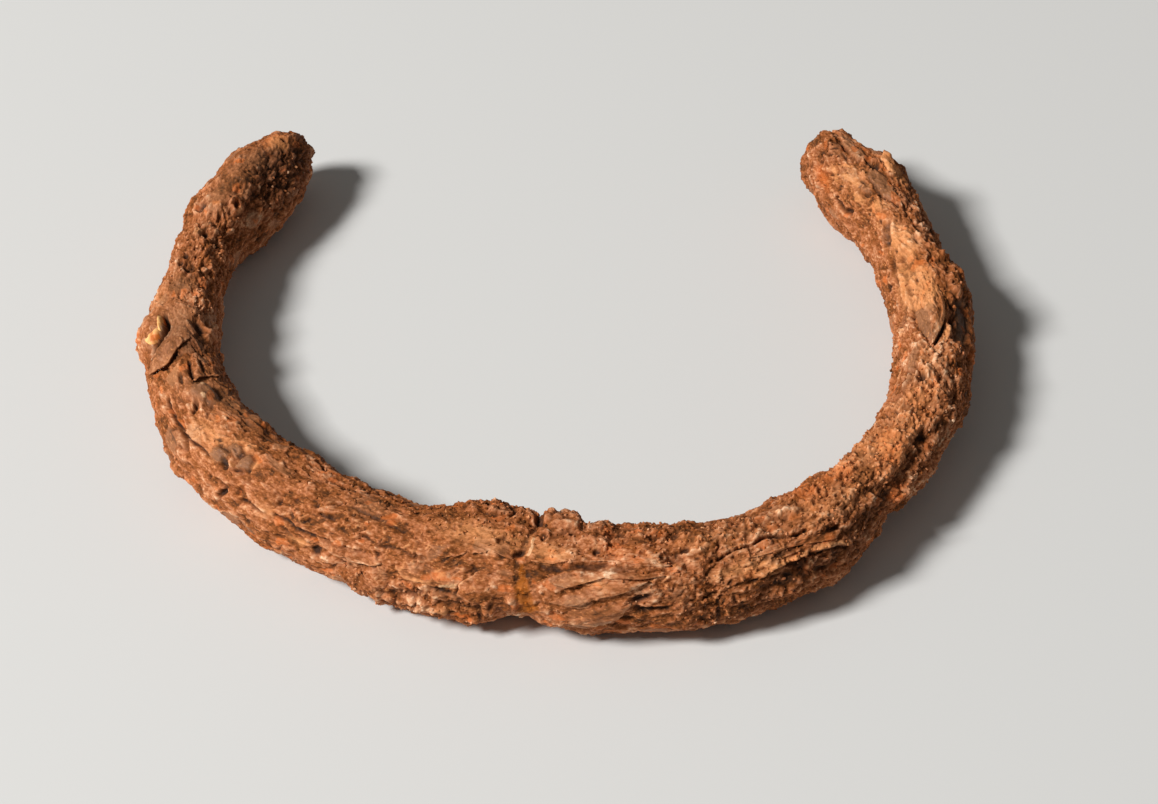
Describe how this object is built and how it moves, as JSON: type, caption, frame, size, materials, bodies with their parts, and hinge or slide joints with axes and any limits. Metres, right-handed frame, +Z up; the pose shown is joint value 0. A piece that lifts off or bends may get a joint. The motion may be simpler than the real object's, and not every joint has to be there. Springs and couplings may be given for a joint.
{
  "type": "iron bracelet",
  "caption": "Open C-shaped bracelet of heavily corroded iron: one bent bar, thickest at the front, with two blunt swollen terminals; it lies flat.",
  "frame": {"origin": "centre of the bracelet's box in plan, on the surface it lies on", "axes": "+X across the bracelet from the left terminal to the right, +Y towards its opening, +Z up"},
  "size_m": [0.0786, 0.0671, 0.0099],
  "materials": {
    "rusted_iron": "matt, flaking orange-brown rust crust over iron"
  },
  "bodies": {
    "root": {"bracelet": "rusted_iron"}
  },
  "joints": []
}
